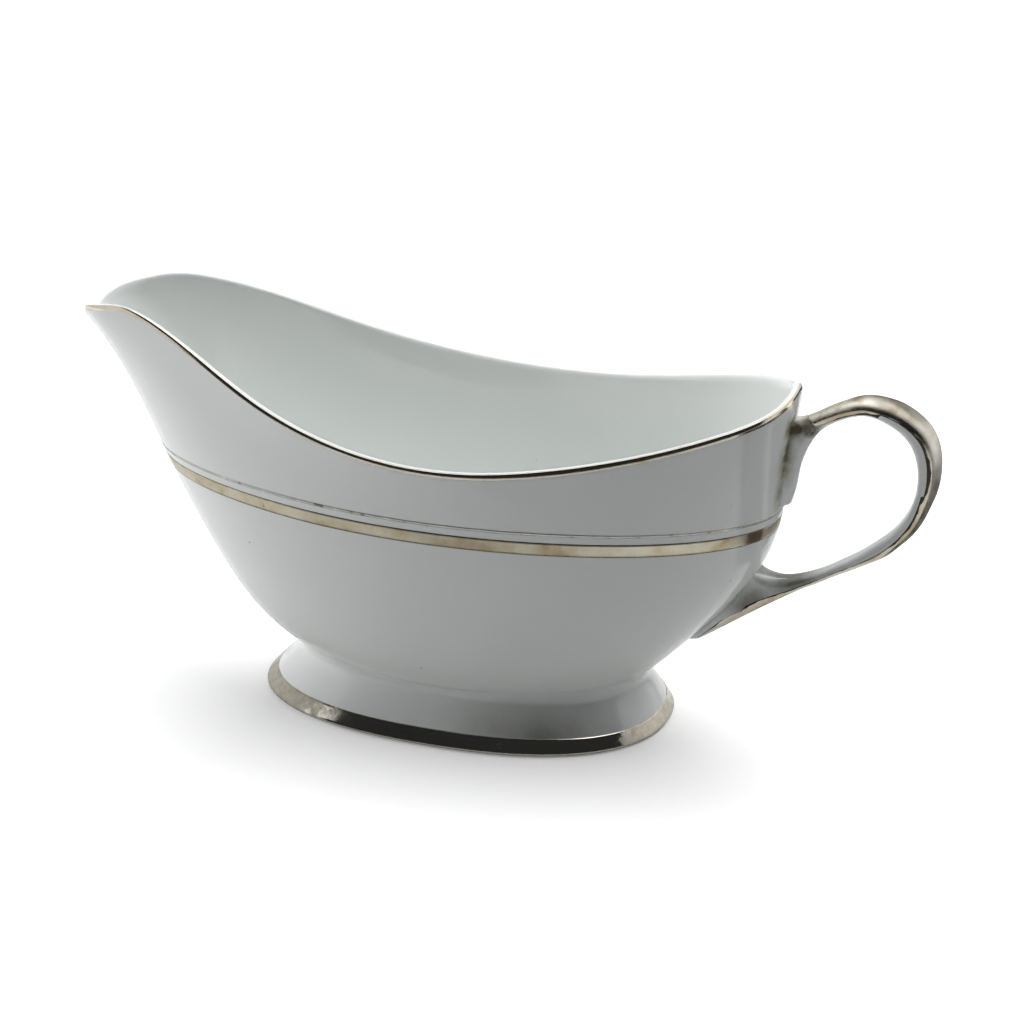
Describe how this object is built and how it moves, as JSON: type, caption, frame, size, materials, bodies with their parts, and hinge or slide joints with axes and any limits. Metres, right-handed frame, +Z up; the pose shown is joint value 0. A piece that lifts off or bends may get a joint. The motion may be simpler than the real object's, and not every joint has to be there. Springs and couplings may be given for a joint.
{
  "type": "gravy boat",
  "caption": "Oval porcelain gravy boat with a pouring lip, an oval pedestal foot, a loop strap handle and platinum trims.",
  "frame": {"origin": "middle of the overall length and width, on the plane the foot ring stands on", "axes": "+X from the spout to the handle, +Y across the boat, +Z up"},
  "size_m": [0.2324, 0.0862, 0.1044],
  "materials": {
    "porcelain": "white glaze, gloss",
    "platinum": "burnished platinum lustre, tarnished"
  },
  "bodies": {
    "root": {"bowl": "porcelain", "pedestal_foot": "porcelain", "handle": "porcelain", "rim_band": "platinum", "belly_line": "platinum", "belly_band": "platinum", "foot_band": "platinum", "handle_band": "platinum"}
  },
  "joints": []
}
